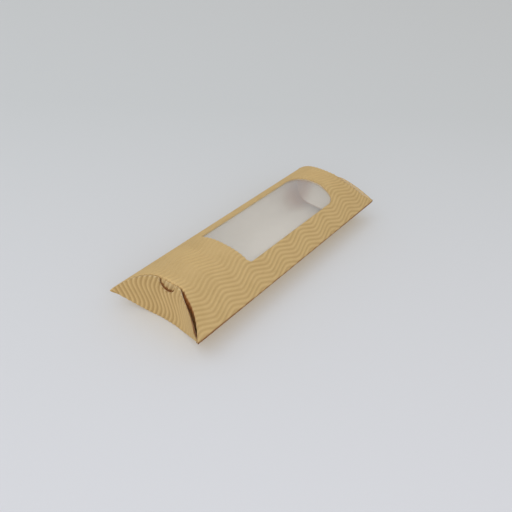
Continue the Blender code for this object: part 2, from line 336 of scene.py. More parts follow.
def buildMesh(name, points, faces, attributes):
    used, faces = np.unique(faces, return_inverse=True)
    faces = faces.reshape(-1, 4)
    points = points[used]
    corners = points[faces]
    # the signed volume says which way the faces point
    volume = corners[:, 0] * np.cross(corners[:, 2], corners[:, 3] - corners[:, 1])
    if volume.sum() < 0:
        faces = faces[:, ::-1]
    mesh = bpy.data.meshes.new(name)
    mesh.vertices.add(len(points))
    mesh.vertices.foreach_set("co", points.astype(np.float32).ravel())
    mesh.loops.add(faces.size)
    mesh.loops.foreach_set("vertex_index", faces.astype(np.int32).ravel())
    mesh.polygons.add(len(faces))
    mesh.polygons.foreach_set("loop_start", np.arange(0, faces.size, 4, dtype=np.int32))
    mesh.update(calc_edges=True)
    mesh.validate()
    mesh.shade_smooth()
    mesh.set_sharp_from_angle(angle=math.radians(sharpAngle))
    for key, values in attributes.items():
        layer = mesh.attributes.new(key, "FLOAT", "POINT")
        layer.data.foreach_set("value", values[used].astype(np.float32))
    return addObject(name, mesh)


def sheetMesh(name, outer, inner, attributes, cells=None):
    # a closed sheet: two grids, and walls round the kept cells' open edges
    rows, columns = outer.shape[:2]
    if cells is None:
        cells = np.ones((rows - 1, columns - 1), bool)
    index = np.arange(rows * columns).reshape(rows, columns)
    quads = np.stack([index[:-1, :-1], index[:-1, 1:], index[1:, 1:], index[1:, :-1]], -1)[cells]
    under = rows * columns
    framed = np.pad(cells, 1)
    before, after = framed[:-1, 1:-1], framed[1:, 1:-1]
    left, right = framed[1:-1, :-1], framed[1:-1, 1:]
    edges = [(index[:, :-1], index[:, 1:], after & ~before),
             (index[:, 1:], index[:, :-1], before & ~after),
             (index[1:, :], index[:-1, :], right & ~left),
             (index[:-1, :], index[1:, :], left & ~right)]
    faces = [quads, quads[:, ::-1] + under]
    for first, second, kept in edges:
        p, q = first[kept], second[kept]
        faces.append(np.stack([q, p, p + under, q + under], -1))
    points = np.concatenate([outer.reshape(-1, 3), inner.reshape(-1, 3)])
    doubled = {key: np.concatenate([values.ravel()] * 2) for key, values in attributes.items()}
    return buildMesh(name, points, np.concatenate(faces), doubled)


print("stage: materials")


def newMaterial(name):
    material = bpy.data.materials.new(name)
    material.use_nodes = True
    nodes = material.node_tree.nodes
    return material, nodes, material.node_tree.links, nodes["Principled BSDF"]


def noiseNode(nodes, links, scale, detail, stretch=(1, 1, 1)):
    place = nodes.new("ShaderNodeTexCoord")
    turn = nodes.new("ShaderNodeMapping")
    turn.inputs["Scale"].default_value = stretch
    noise = nodes.new("ShaderNodeTexNoise")
    noise.inputs["Scale"].default_value = scale
    noise.inputs["Detail"].default_value = detail
    links.new(place.outputs["Object"], turn.inputs["Vector"])
    links.new(turn.outputs["Vector"], noise.inputs["Vector"])
    return noise.outputs["Fac"]


def mixColour(nodes, links, factor, first, second, blend="MIX"):
    mix = nodes.new("ShaderNodeMix")
    mix.data_type = "RGBA"
    mix.blend_type = blend
    sockets = (mix.inputs["Factor"], mix.inputs[6], mix.inputs[7])
    for socket, value in zip(sockets, (factor, first, second)):
        if isinstance(value, bpy.types.NodeSocket):
            links.new(value, socket)
        else:
            socket.default_value = (*value, 1)
    return mix.outputs[2]


def rangeNode(nodes, links, value, low, high, outLow=0.0, outHigh=1.0):
    change = nodes.new("ShaderNodeMapRange")
    limits = {"From Min": low, "From Max": high, "To Min": outLow, "To Max": outHigh}
    for key, limit in limits.items():
        change.inputs[key].default_value = limit
    links.new(value, change.inputs["Value"])
    return change.outputs["Result"]


def mathNode(nodes, links, operation, first, second):
    node = nodes.new("ShaderNodeMath")
    node.operation = operation
    links.new(first, node.inputs[0])
    links.new(second, node.inputs[1])
    return node.outputs["Value"]


def attributeNode(nodes, name):
    node = nodes.new("ShaderNodeAttribute")
    node.attribute_name = name
    return node.outputs["Fac"]


def addBump(nodes, links, shader, noise, strength, distance):
    bump = nodes.new("ShaderNodeBump")
    bump.inputs["Strength"].default_value = strength
    bump.inputs["Distance"].default_value = distance
    links.new(noiseNode(nodes, links, *noise), bump.inputs["Height"])
    links.new(bump.outputs["Normal"], shader.inputs["Normal"])


# A noise is a scale, a detail and a stretch. A range turns its first two values into 0 and 1,
# or into its last two. A bump is a strength and a distance.
kraftFinish = {
    "ridge": (0.628, 0.443, 0.203),
    # painted shade: the grooves between the flutes are coloured darker than the ridges
    "groove": (0.435, 0.288, 0.119),
    "mottle": (0.945, 0.935, 0.910),    # multiplies the colour, as the fibres' does
    "mottleNoise": (90, 4),
    "mottleRange": (0.42, 0.72),
    "fibre": (0.80, 0.76, 0.70),
    "fibreNoise": (900, 3, (1, 0.16, 1)),
    "fibreRange": (0.60, 0.78, 0, 0.42),
    # pale raw cut edge, also laid on as painted light and painted highlights
    "rawEdgeAndLight": (0.680, 0.530, 0.310),
    "rawEdgeAndLightRange": (0.2, 1.0, 0, 0.7),
    # painted shade in gaps and voids
    "void": (0.170, 0.085, 0.034),
    "warmVoid": (0.480, 0.240, 0.080),  # deeper, where only the board lights it
    "roughness": 0.86,
    "grainNoise": (1500, 4, (1, 0.35, 1)),
    "grainBump": (0.35, 0.06 * mm),
}

linerFinish = {
    "paper": (0.868, 0.816, 0.724),
    "shade": (0.838, 0.784, 0.692),
    "shadeNoise": (60, 4),
    "shadeRange": (0.40, 0.70),
    "fibre": (0.690, 0.622, 0.545),
    "fibreNoise": (1100, 3, (1, 0.2, 1)),
    "fibreRange": (0.60, 0.80, 0, 0.35),
    # pale raw cut edge, also laid on as painted light and painted highlights
    "rawEdgeAndLight": (0.660, 0.500, 0.290),
    "rawEdgeAndLightRange": (0, 1),
    # painted shade in gaps and voids
    "void": (0.290, 0.130, 0.030),
    "roughness": 0.82,
    "grainNoise": (1300, 4, (1, 0.4, 1)),
    "grainBump": (0.30, 0.05 * mm),
}

paperSheen = 0.25
gapLight = (0.050, 0.016, 0.004)  # a faint painted glow where the edge attribute paints a gap


def noiseMix(nodes, links, colour, finish, key, blend="MIX"):
    # lays the finish's second colour over the first where its noise is high
    noise = noiseNode(nodes, links, *finish[key + "Noise"])
    share = rangeNode(nodes, links, noise, *finish[key + "Range"])
    return mixColour(nodes, links, share, colour, finish[key], blend)


def finishPaper(nodes, links, shader, colour, finish):
    # above 0 the edge attribute paints light: pale raw cut edges with painted highlights, and lit
    # spots; below 0 it paints shade in a gap
    edge = attributeNode(nodes, "edge")
    paleEdgeAndLight = rangeNode(nodes, links, edge, *finish["rawEdgeAndLightRange"])
    colour = mixColour(nodes, links, paleEdgeAndLight, colour, finish["rawEdgeAndLight"])
    gap = rangeNode(nodes, links, edge, 0, -1)
    colour = mixColour(nodes, links, gap, colour, finish["void"])
    if "warmVoid" in finish:
        deep = rangeNode(nodes, links, edge, -1, -2)
        colour = mixColour(nodes, links, deep, colour, finish["warmVoid"])
    links.new(colour, shader.inputs["Base Color"])
    # the painted gaps glow faintly: painted light
    shader.inputs["Emission Color"].default_value = (*gapLight, 1)
    links.new(gap, shader.inputs["Emission Strength"])
    shader.inputs["Roughness"].default_value = finish["roughness"]
    shader.inputs["Specular IOR Level"].default_value = paperSheen
    addBump(nodes, links, shader, finish["grainNoise"], *finish["grainBump"])


def makeKraft():
    material, nodes, links, shader = newMaterial("kraft_paper")
    # the ridge attribute lays the painted groove shade over the kraft colour
    ridge = attributeNode(nodes, "ridge")
    colour = mixColour(nodes, links, ridge, kraftFinish["groove"], kraftFinish["ridge"])
    for key in ("mottle", "fibre"):
        colour = noiseMix(nodes, links, colour, kraftFinish, key, "MULTIPLY")
    finishPaper(nodes, links, shader, colour, kraftFinish)
    return material


def makeLiner():
    material, nodes, links, shader = newMaterial("liner_paper")
    colour = linerFinish["paper"]
    for key in ("shade", "fibre"):
        colour = noiseMix(nodes, links, colour, linerFinish, key)
    finishPaper(nodes, links, shader, colour, linerFinish)
    return material


filmFinish = {
    "tint": (0.97, 0.95, 0.925),
    "roughness": 0.32,
    "refraction": 1.5,
    "facingBlend": 0.35,
    "cover": (0.17, 0.27),  # how much of the film shows, square on and at a slant
    "hazeNoise": (38, 3, (1, 0.5, 1)),
    "hazeRange": (0.35, 0.75, -0.01, 0.02),
    "rippleNoise": (45, 2, (1, 0.4, 1)),
    "rippleBump": (0.10, 0.4 * mm),
}


def makeFilm():
    material, nodes, links, shader = newMaterial("clear_film_sheet")
    shader.inputs["Base Color"].default_value = (*filmFinish["tint"], 1)
    shader.inputs["Roughness"].default_value = filmFinish["roughness"]
    shader.inputs["IOR"].default_value = filmFinish["refraction"]
    noise = noiseNode(nodes, links, *filmFinish["hazeNoise"])
    haze = rangeNode(nodes, links, noise, *filmFinish["hazeRange"])
    facing = nodes.new("ShaderNodeLayerWeight")
    facing.inputs["Blend"].default_value = filmFinish["facingBlend"]
    cover = rangeNode(nodes, links, facing.outputs["Facing"], 0, 1, *filmFinish["cover"])
    links.new(mathNode(nodes, links, "ADD", cover, haze), shader.inputs["Alpha"])
    addBump(nodes, links, shader, filmFinish["rippleNoise"], *filmFinish["rippleBump"])
    return material


kraftPaper = makeKraft()
linerPaper = makeLiner()
clearFilm = makeFilm()

print("stage: top panel")

windowCut = {
    "halfArc": 21.35 * mm,  # its sides, along the paper from the middle
    "front": -40.7 * mm,
    "rear": 72.1 * mm,
    "rearBow": 6.1 * mm,
    "frontRadius": 3.3 * mm,
    "rearRadius": 5.0 * mm,
    "cornerSteps": 10,
    "rimReach": 0.8 * mm,   # painted light on the board's cut rim, over this width,
    "rimLight": 0.35,       # by this share
    # painted light on the liner's rim round the window, over this width
    "liningRimReach": 1.2 * mm,
}


def cornerCut(inside, radius):
    # how far a rounded corner comes in from the window's end
    out = np.clip(inside - (windowCut["halfArc"] - radius), 0, radius)
    return radius - np.sqrt(radius ** 2 - out ** 2)


def windowEdges(arc):
    # front and rear edge of the window over each place across. The rear edge is bowed.
    half = windowCut["halfArc"]
    inside = np.minimum(np.abs(arc), half)
    front = windowCut["front"] + cornerCut(inside, windowCut["frontRadius"])
    bow = (half ** 2 + windowCut["rearBow"] ** 2) / (2 * windowCut["rearBow"])
    rear = windowCut["rear"] - bow + np.sqrt(bow ** 2 - inside ** 2)
    return front, rear - cornerCut(inside, windowCut["rearRadius"])


def windowGap(arc, along):
    # distance outside the window
    front, rear = windowEdges(arc)
    outside = np.maximum(np.abs(arc) - windowCut["halfArc"], 0)
    return np.maximum(np.maximum(front - along, along - rear), outside)


def windowColumns(line, step):
    # places across the panel: even steps, and by angle inside the window's corners
    half, radius = windowCut["halfArc"], windowCut["rearRadius"]
    turn = np.linspace(0, math.pi / 2, windowCut["cornerSteps"] + 1)
    corner = half - radius + radius * np.sin(turn)
    middle = spaced(0, half - radius, step)[:-1]
    right = spaced(half, line["arc"][-1], step)[1:]
    left = spaced(half, -line["arc"][0], step)[1:]
    return np.concatenate([-left[::-1], -corner[::-1], -middle[:0:-1], middle, corner, right])


def evenColumns(line, step):
    return spaced(line["arc"][0], line["arc"][-1], step)


def creaseNose(end, height, share):
    # rows up a crease's wall and round a quarter turn onto the face, with each row's angle
    radius = crease["radius"] + (pull["radius"] - crease["radius"]) * share
    radius = np.minimum(radius, crease["radiusLimit"] * height)
    run = np.minimum(crease["run"], crease["runLimit"] * height) * (1 - pull["runLoss"] * share)
    turns = np.linspace(0, math.pi / 2, crease["steps"])[:, None]
    along = end + radius * (1 - np.cos(turns))
    drop = -radius * (1 - np.sin(turns))
    return (np.concatenate([end[None], along]), np.concatenate([(drop[0] - run)[None], drop]),
            np.concatenate([[[0]], turns]))


def rowsBetween(first, last, step):
    # rows after the first one, as far as the last one
    return first + (last - first) * rowShares((last - first).mean(), step)[1:]


panelRows = {
    "fluting": 1.1 * mm,    # the steps along the panels
    "lining": 2.4 * mm,
    "bellySplit": 20 * mm,  # where the belly, without a window, is divided
    "leastHeight": 0.1 * mm,
}


def panelGrid(line, arc, rowStep, nose, endDepth, window, followed=1.0):
    # rows from crease to crease, their normals, and the window's first and last row
    points, normal = sampleLine(line, arc)
    x = np.clip(points[:, 0], -sleeve["halfWidth"], sleeve["halfWidth"])
    height = np.maximum(topFace(x) - bellyFace(x), panelRows["leastHeight"])
    end = endAt(x, endDepth)
    shares = (forwardShare(x), rearShare(x)) if window else (0 * x, 0 * x)
    most = (endAt(x, board["panelInset"]) - endAt(x, 0)) * followed
    forward, backward = (np.minimum(np.maximum(share, tipShare(x)) * most, end - cadBox[0][1])
                         for share in shares)
    if nose:
        noseY, noseZ, turns = creaseNose(end, height, shares[0])
        rearY, rearZ, turns = creaseNose(end, height, shares[1])
    else:
        noseY, noseZ, turns = end[None], 0 * end[None], np.full((1, 1), math.pi / 2)
        rearY, rearZ = noseY, noseZ
    if window:
        frontEdge, rearEdge = windowEdges(arc)
    else:
        frontEdge, rearEdge = (0 * arc + side * panelRows["bellySplit"] for side in (-1, 1))
    firstFlat, lastFlat = noseY[-1], -rearY[-1]
    stops = [firstFlat, frontEdge, rearEdge, lastFlat]
    parts = [rowsBetween(first, last, rowStep) for first, last in zip(stops, stops[1:])]
    flatRows = np.concatenate(parts)
    y = np.concatenate([noseY, flatRows, -rearY[-2::-1]])
    y = y - forward * np.clip(1 - (y - firstFlat) / pull["fade"], 0, 1)
    y = y + backward * np.clip(1 - (lastFlat - y) / pull["fade"], 0, 1)
    drop = np.concatenate([noseZ, 0 * flatRows, rearZ[-2::-1]])
    turn = np.concatenate([turns, 0 * flatRows[:, :1] + math.pi / 2, math.pi - turns[-2::-1]])
    outer = np.stack([points[:, 0] + 0 * y, y, points[:, 1] + drop], -1)
    face = np.stack([normal[:, 0], 0 * arc, normal[:, 1]], -1)
    wall = np.array([0, -1, 0])  # with no move across the box
    lean = np.sin(turn)[..., None] * face + np.abs(np.cos(turn))[..., None] * wall
    lean[..., 1] *= np.where(turn > math.pi / 2, -1, 1)
    firstHole = len(noseY) - 1 + len(parts[0])
    return outer, unit(lean), (firstHole, firstHole + len(parts[1]))


def panelCells(outer, middle, hole, window):
    # every cell of the grid but the window's
    cells = np.ones((outer.shape[0] - 1, outer.shape[1] - 1), bool)
    if window:
        cells[hole[0]:hole[1], np.abs(middle) < windowCut["halfArc"]] = False
    return cells


# Painted shade in the top panel's grooves: how much darker they are coloured, as a share of the
# inner flaps'
panelContrast = {
    "left": 0.05,
    "right": 0.59,
    "across": 18 * mm,  # the right side's share is reached this far across
    "frontLoss": 0.12,  # it is less by this share at the front,
    "along": 60 * mm,   # this far from the middle
    "power": 1.4,       # above 1 the dark lines in the grooves are narrower
}

# The seam's raw edge is in shadow, most in the grooves and towards the corners
seamEdge = {
    "topDark": (0.3, 0.6),    # on the ridges, and what the grooves add
    "bellyDark": (0.4, 0.5),
    "cornerStart": 54 * mm,   # from here along the box it gets darker,
    "cornerLength": 60 * mm,  # as fast as this
    "reach": 0.45 * mm,
    "frontReach": 0.3 * mm,   # added to it towards the front corner,
    "frontStart": 36 * mm,    # from here along
    "bellyReach": 2.4 * mm,
    "tooth": 0.5,             # how much light the ridges catch beside it
    "toothReach": 1.6 * mm,
    "closing": 1.5,           # how far the ply's underside is drawn down to close it
    "liningRoom": 0.3 * mm,   # the liner stops this far short of it,
    "liningReach": 1.6 * mm,  # and is in shadow over this width
}


def seamDark(ridge, along, least, groove):
    corner = (np.abs(along) - seamEdge["cornerStart"]) / seamEdge["cornerLength"]
    return np.clip(least + groove * (1 - ridge) + np.clip(corner, 0, 1), 0, 1)


def makePanelFluting(name, line, arc, blank, window):
    outer, normal, hole = panelGrid(line, arc, panelRows["fluting"], window, board["panelInset"],
                                    window)
    across = arc + 0 * outer[..., 0]
    along = outer[..., 1]
    ridge = ridgeShare(across, along, blank)
    toLeft, toRight = across - line["arc"][0], line["arc"][-1] - across
    # the top panel's right side isn't folded
    toFold = toLeft if window else np.minimum(toLeft, toRight)
    # along Y, to the nearer end crease
    toCrease = np.maximum(-endFace(outer[..., 0]) - np.abs(along), 0) + flutes["creaseWidth"]
    depth = board["fluteRise"] * np.minimum(crush(toFold), crush(toCrease)) * (1 - ridge)
    cells = panelCells(outer, (arc[:-1] + arc[1:]) / 2, hole, window)
    if window:
        rim = nearShare(windowGap(across, along), windowCut["rimReach"])
        wall = nearShare(along - outer[0, :, 1], pull["shadeReach"])
        towardsFront = smooth((-along - seamEdge["frontStart"]) / seamEdge["cornerLength"])
        cut = nearShare(toRight, seamEdge["reach"] + seamEdge["frontReach"] * towardsFront)
        teeth = seamEdge["tooth"] * ridge * nearShare(toRight, seamEdge["toothReach"])
        glow = windowCut["rimLight"] * rim - pull["shade"] * forwardShare(outer[..., 0]) * wall
        glow = glow + teeth * (1 - cut) - seamDark(ridge, along, *seamEdge["topDark"]) * cut
        closed = np.maximum(smooth(2 * rim), seamEdge["closing"] * smooth(2 * cut))
        fromFront = smooth(1 + along / panelContrast["along"])
        rightShare = smooth(outer[..., 0] / panelContrast["across"]) * (
            1 - panelContrast["frontLoss"] * (1 - fromFront))
        span = panelContrast["right"] - panelContrast["left"]
        shown = panelContrast["left"] + span * rightShare
        paper = pressedBoard["paper"]
    else:
        dark = seamDark(ridge, along, *seamEdge["bellyDark"])
        glow = -dark * nearShare(toRight, seamEdge["bellyReach"])
        closed, shown, paper = 0, 1, board["paper"]
    under = depth + paper + (pressedBoard["linerTop"] - depth - paper) * closed
    return sheetMesh(name, outer - depth[..., None] * normal, outer - under[..., None] * normal,
                     {"ridge": 1 - shown * (1 - ridge) ** panelContrast["power"],
                      "edge": glow}, cells)


# Brown shadow on the belly's liner, in the far corner under the window and behind the sprung
# flap, twice as long as wide: places across and along, and reach
cornerShades = [(-18 * mm, 94 * mm, 18 * mm), (31 * mm, -106 * mm, 12 * mm)]
cornerCore = 1.3


def makeLining(name, line, arc, window):
    # a smooth sheet between the liner's depths, stopping inside the creases
    outer, normal, hole = panelGrid(line, arc, panelRows["lining"], False,
                                    board["panelInset"] + board["liningInset"], window,
                                    pull["liningShare"])
    middle = (arc[:-1] + arc[1:]) / 2
    cells = panelCells(outer, middle, hole, window)
    if window:
        across = arc + 0 * outer[..., 0]
        glow = nearShare(windowGap(across, outer[..., 1]), windowCut["liningRimReach"])
        glow = glow - nearShare(line["arc"][-1] - arc, seamEdge["liningReach"])
        room = seamEdge["liningRoom"]
    else:
        glow = 0 * outer[..., 0]
        for x, y, reach in cornerShades:
            spot = np.hypot(outer[..., 0] - x, (outer[..., 1] - y) / 2)
            glow = glow - fadeOut(spot, reach, cornerCore)
        room = board["liningRoom"]
    leftEnd, rightEnd = line["arc"][0] + board["liningRoom"], line["arc"][-1] - room
    cells[:, (middle < leftEnd) | (middle > rightEnd)] = False
    ply = pressedBoard if window else board
    return sheetMesh(name, outer - ply["linerTop"] * normal, outer - ply["linerBottom"] * normal,
                     {"edge": glow}, cells)


def finishPiece(thing, material, slot, node, *bodies, start=None, end=None):
    thing.data.materials.append(material)
    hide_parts(node)
    if start is None:
        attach(thing, bodies[0])
    else:
        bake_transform(thing)


def finishPlies(ribs, lining, node, *bodies, **hinge):
    finishPiece(ribs, kraftPaper, "kraft_fluting", node + "_fluting", *bodies, **hinge)
    finishPiece(lining, linerPaper, "pale_liner", node + "_liner", *bodies, **hinge)


def makePanel(name, node, line, columns, blank, window):
    ribs = makePanelFluting(name + "_ribs", line, columns(line, fluteStep), blank, window)
    arc = columns(line, flutes["panelLinerStep"] * fluteStep)
    finishPlies(ribs, makeLining(name + "_lining", line, arc, window), node, "sleeve")


makePanel("top_panel", "top_panel", topLine(), windowColumns, topFlutes, True)
print("stage: belly")
makePanel("belly", "bottom_panel", bellyLine(), evenColumns, bellyFlutes, False)

print("stage: flaps")

outerFlap = {
    "frontClearance": 0.6 * mm,
    "rearClearance": 0.1 * mm,
    "underCrease": 0.35 * mm,  # it clears the pulled panel's crease by this,
    "rearDrop": 0.5 * mm,      # and the rear one by this much more
    "tipHeight": 0.3 * mm,
    "closingHeight": 3 * mm,   # lower than this, the clearance closes up
    "radiusLimit": 0.4,        # its crease's radius, as a share of its height, is no more
    "bellyRun": 1.4 * mm,      # it starts this far along the belly
    "notchCentre": -1.9 * mm,
    "notchHalf": 6.5 * mm,
    "notchDepth": 7.8 * mm,
    "notchExtra": 7,           # columns over the even ones in the notch
    "rowStep": 0.85 * mm,
    "fluteLean": 0.10,         # the flutes drift sideways by this share of the height
    "fullRise": 5 * mm,        # where it is lower than this, they are shallower,
    "leastRise": 0.25,         # down to this share
    "frontSag": 5.0 * mm,      # the front flap's right half has sagged,
    "frontProud": 2.1 * mm,    # and sprung out,
    "proudHeight": 8 * mm,     # by less where it is lower than this
    "sagStart": 8 * mm,        # from here across,
    "sagFull": 26 * mm,        # most from here on,
    "sagPower": 2.9,
    "sagEnd": 29 * mm,         # and less again past this place, towards the tip
    "sagTipLoss": 0.6,
    "pressedEdge": 0.30,       # the board is thinner by this share on the free edge,
    "pressedGap": 0.30,        # and by as much more beside the gap,
    "pressedReach": 2.0 * mm,  # over this height
    "smoothStart": 1 * mm,     # the front one's flutes are pressed flat to the right of here
    "smoothFull": 17 * mm,
    "smoothLoss": 0.7,
    "contrast": 0.96,          # painted shade: how much darker its grooves are, as a share of the inner flaps'
    "cutReach": 0.9 * mm,      # its cut edge has painted light on the ridges,
    "cutGroove": 0.25,         # and painted shade as dark as this in the grooves,
    "cutSmoothLoss": 0.6,      # weaker by this share where they are pressed flat,
    "cutRear": 0.5,            # and this strong at the rear
    "closedReach": 0.8 * mm,
    "liningReach": 1.6 * mm,   # the liner's edge has painted light too, over this height,
    "liningDark": 2,           # and painted shade beside the gap
    "blendLength": 4 * mm,
}


def notchShare(x, half):
    # 1 at the notch's middle, falling to 0 at this half width
    return np.clip(1 - ((x - outerFlap["notchCentre"]) / half) ** 2, 0, 1)


def notchColumns(tip, step):
    # even steps across, and by angle inside the notch
    half = outerFlap["notchHalf"]
    count = 2 * int(half / step) + outerFlap["notchExtra"]
    inside = outerFlap["notchCentre"] + half * np.sin(np.linspace(-math.pi / 2, math.pi / 2, count))
    left, right = spaced(-tip, inside[0], step), spaced(inside[-1], tip, step)
    return np.concatenate([left[:-1], inside, right[1:]])


def sagShare(x):
    # rises from 0 beside the notch and falls again at the tip
    way = wayShare(x, outerFlap["sagStart"], outerFlap["sagFull"])
    tip = smooth(wayShare(x, outerFlap["sagEnd"], sleeve["halfWidth"]))
    return (1 - (1 - way) ** outerFlap["sagPower"]) * (1 - outerFlap["sagTipLoss"] * tip)


def flapSheet(name, outer, normal, depths, sign, attributes):
    # a sheet between two depths, measured square to the face, but with no move across the box
    inward = normal * (0, 1, 1)
    size = (inward ** 2).sum(-1)
    faces = (outer - (depth / size)[..., None] * inward for depth in depths)
    return sheetMesh(name, *(face * (1, -sign, 1) for face in faces), attributes)


def endArc(x):
    # length along the dished end's curve, from the middle
    step = np.hypot(np.diff(denseX), np.diff(endFace(denseX)))
    arc = np.concatenate([[0], np.cumsum(step)])
    arc -= np.interp(0, denseX, arc)
    return np.interp(x, denseX, arc)


def hingeBlend(start, way, length):
    # a start point on the crease, and an end point this far along the way
    stop = np.array(start) + np.array(way) / np.linalg.norm(way) * length
    return {"start": tuple(start), "end": tuple(stop)}


def flapGrid(x, bottom, top, radius, run, face, slope, under):
    # rows: a run along the belly, a quarter turn about the crease, then up to the free edge
    turns = np.linspace(0, math.pi / 2, crease["steps"])[:, None]
    noseY = face + radius * (1 - np.sin(turns))
    noseZ = bottom + radius * (1 - np.cos(turns))
    shares = rowShares((top - bottom).max(), outerFlap["rowStep"])[1:]
    z = np.concatenate([bottom[None], noseZ, noseZ[-1] + (top - noseZ[-1]) * shares])
    y = np.concatenate([(noseY[0] + run)[None], noseY, face + 0 * shares])
    turn = np.concatenate([[[0]], turns, 0 * shares + math.pi / 2])
    wall = np.stack([slope, -np.ones_like(x), 0 * x], -1)
    floor = np.stack([under, 0 * x, -np.ones_like(x)], -1)
    normal = unit(np.sin(turn)[..., None] * wall + np.cos(turn)[..., None] * floor)
    along = (z - bottom) - (y - face)  # from the crease, less than 0 on the belly's side
    return np.stack([x + 0 * y, y, z], -1), normal, along


def freeEdge(x, clearance, sag, front):
    # height of the free edge, under the top panel's face or its pulled crease
    room = np.clip((topFace(x) - bellyFace(x)) / outerFlap["closingHeight"], 0, 1)
    top = topFace(x) - clearance * room - sag * sagShare(x)
    share = forwardShare(x) if front else rearShare(x)
    depth = pull["radius"] + outerFlap["underCrease"] + (0 if front else outerFlap["rearDrop"])
    return np.minimum(top, topFace(x) - depth * share * room)


def makeOuterFlap(end, sign):
    front = end == "front"
    clearance = outerFlap[end + "Clearance"]
    sag, proud = (outerFlap["frontSag"], outerFlap["frontProud"]) if front else (0, 0)
    gap = freeEdge(denseX, clearance, sag, front) - bellyFace(denseX)
    tip = denseX[(gap > outerFlap["tipHeight"]) & (denseX < cadBox[1][0])].max()
    x = notchColumns(tip, fluteStep)
    bottom = bellyFace(x)
    notch = outerFlap["notchDepth"] * np.sqrt(notchShare(x, outerFlap["notchHalf"]))
    top = freeEdge(x, clearance, sag, front) - notch
    height = top - bottom
    radius = np.minimum(crease["radius"], outerFlap["radiusLimit"] * height)
    run = np.minimum(outerFlap["bellyRun"], height)
    slope, under = slopeOf(endFace, x), slopeOf(bellyFace, x)
    outer, normal, along = flapGrid(x, bottom, top, radius, run, endFace(x), slope, under)
    lift = np.clip((outer[..., 2] - bottom) / np.maximum(height, outerFlap["proudHeight"]), 0, 1)
    outer[..., 1] = np.maximum(outer[..., 1] - proud * sagShare(x) * lift, cadBox[0][1])
    ridge = ridgeShare(endArc(x) + outerFlap["fluteLean"] * along, sign * (along - endFace(x)),
                       bellyFlutes)
    rise = board["fluteRise"] * crush(np.abs(along) + flutes["creaseWidth"])
    rise = rise * np.clip(height / outerFlap["fullRise"], outerFlap["leastRise"], 1)
    below = top - outer[..., 2]
    rise = rise * (1 - (1 - flutes["crushAtEdge"]) * nearShare(below, flutes["edgeReach"]))
    flat = smooth(wayShare(x, outerFlap["smoothStart"], outerFlap["smoothFull"]))
    shown = 1 - outerFlap["smoothLoss"] * flat * front
    depth = rise * (1 - ridge) * shown
    pressed = outerFlap["pressedEdge"] + outerFlap["pressedGap"] * sagShare(x) * front
    thick = 1 - pressed * nearShare(below, outerFlap["pressedReach"])
    cut = nearShare(below, outerFlap["cutReach"])
    cut = cut * (1 - outerFlap["cutSmoothLoss"] * flat if front else outerFlap["cutRear"])
    glow = cut * ((1 + outerFlap["cutGroove"]) * ridge - outerFlap["cutGroove"])
    closed = smooth(2 * nearShare(below, outerFlap["closedReach"]))
    under = (depth + board["paper"] * thick) * (1 - closed) + board["linerTop"] * thick * closed
    liningCut = nearShare(below, outerFlap["liningReach"])
    inGap = outerFlap["liningDark"] * sagShare(x) * np.sqrt(liningCut) * front
    hinge = hingeBlend((0, -sign * endFace(0), 0),
                       (0, -sign * sleeve["bellyDrop"], sleeve["endDish"]),
                       outerFlap["blendLength"])
    makePlies(end + "_outer_flap", sign, outer, normal, (depth, under), thick,
              {"ridge": 1 - outerFlap["contrast"] * shown * (1 - ridge), "edge": glow},
              np.clip(2 * liningCut, 0, 1) - inGap, crease["steps"] + 1, hinge)


def makePlies(name, sign, outer, normal, depths, thick, attributes, liningGlow, firstRow, hinge):
    # both plies of a flap. The liner starts at the first row given.
    ribs = flapSheet(name + "_ribs", outer, normal, depths, sign, attributes)
    kept = np.s_[firstRow:, ::flutes["flapLinerStep"]]
    depths = (board["linerTop"] * thick[kept], board["linerBottom"] * thick[kept])
    lining = flapSheet(name + "_lining", outer[kept], normal[kept], depths, sign,
                       {"edge": liningGlow[kept]})
    finishPlies(ribs, lining, name, "sleeve", name, **hinge)


makeOuterFlap("front", -1)
makeOuterFlap("rear", 1)

innerFlap = {
    "clearance": 0.6 * mm,      # over the belly, at the middle,
    "sideClearance": 3.6 * mm,  # and at the sides
    "topClearance": 0.3 * mm,
    "tipHeight": 1.5 * mm,
    "rowStep": 0.85 * mm,
    "frontLean": 3,             # degrees from upright
    "rearLean": 25,
    "creaseWidth": 0.6 * mm,    # added to the distance from its crease
    "blendLength": 3 * mm,
    "bulge": 0.6 * mm,          # it comes forward into the notch,
    "bulgeHalf": 7.5 * mm,
    "bulgeDown": 8 * mm,
    "bulgeLight": 0.6,          # where the front one catches the light
    "rimReach": 1.3 * mm,       # it is in shadow along the notch's rim,
    "rimEnd": 2.5,              # until this many times as far down
    "rimDark": 1.5,
    "gapAside": 3 * mm,         # and beside the pulled crease, from this far left of it,
    "gapDown": 11 * mm,         # and as far down as this
    "gapCore": 1.6,
    "gapDark": 1.9,
    "footReach": 0.9 * mm,      # painted light on the fluting's cut foot edge, and painted shade along it on the liner
    "cornerDark": 0.9,          # brown shadow on the rear one's liner, in the far left corner,
    "cornerReach": 14 * mm,
    "cornerStart": 3.5 * mm,    # from this far left of the middle
}


def frontShade(x, z, down, near):
    # light on the bulge, less the shadow under the notch and beside the pulled crease
    notch = notchShare(x, outerFlap["notchHalf"])
    rim = outerFlap["frontClearance"] + outerFlap["notchDepth"] * np.sqrt(notch)
    under = (topFace(x) - z - rim) / innerFlap["rimReach"]
    shade = smooth(under + 1) * smooth(innerFlap["rimEnd"] - under) * (notch > 0)
    gap = forwardShare(x + innerFlap["gapAside"]) * fadeOut(down, innerFlap["gapDown"],
                                                            innerFlap["gapCore"])
    light = innerFlap["bulgeLight"] * near * (1 - shade)
    return light - innerFlap["rimDark"] * shade - innerFlap["gapDark"] * gap


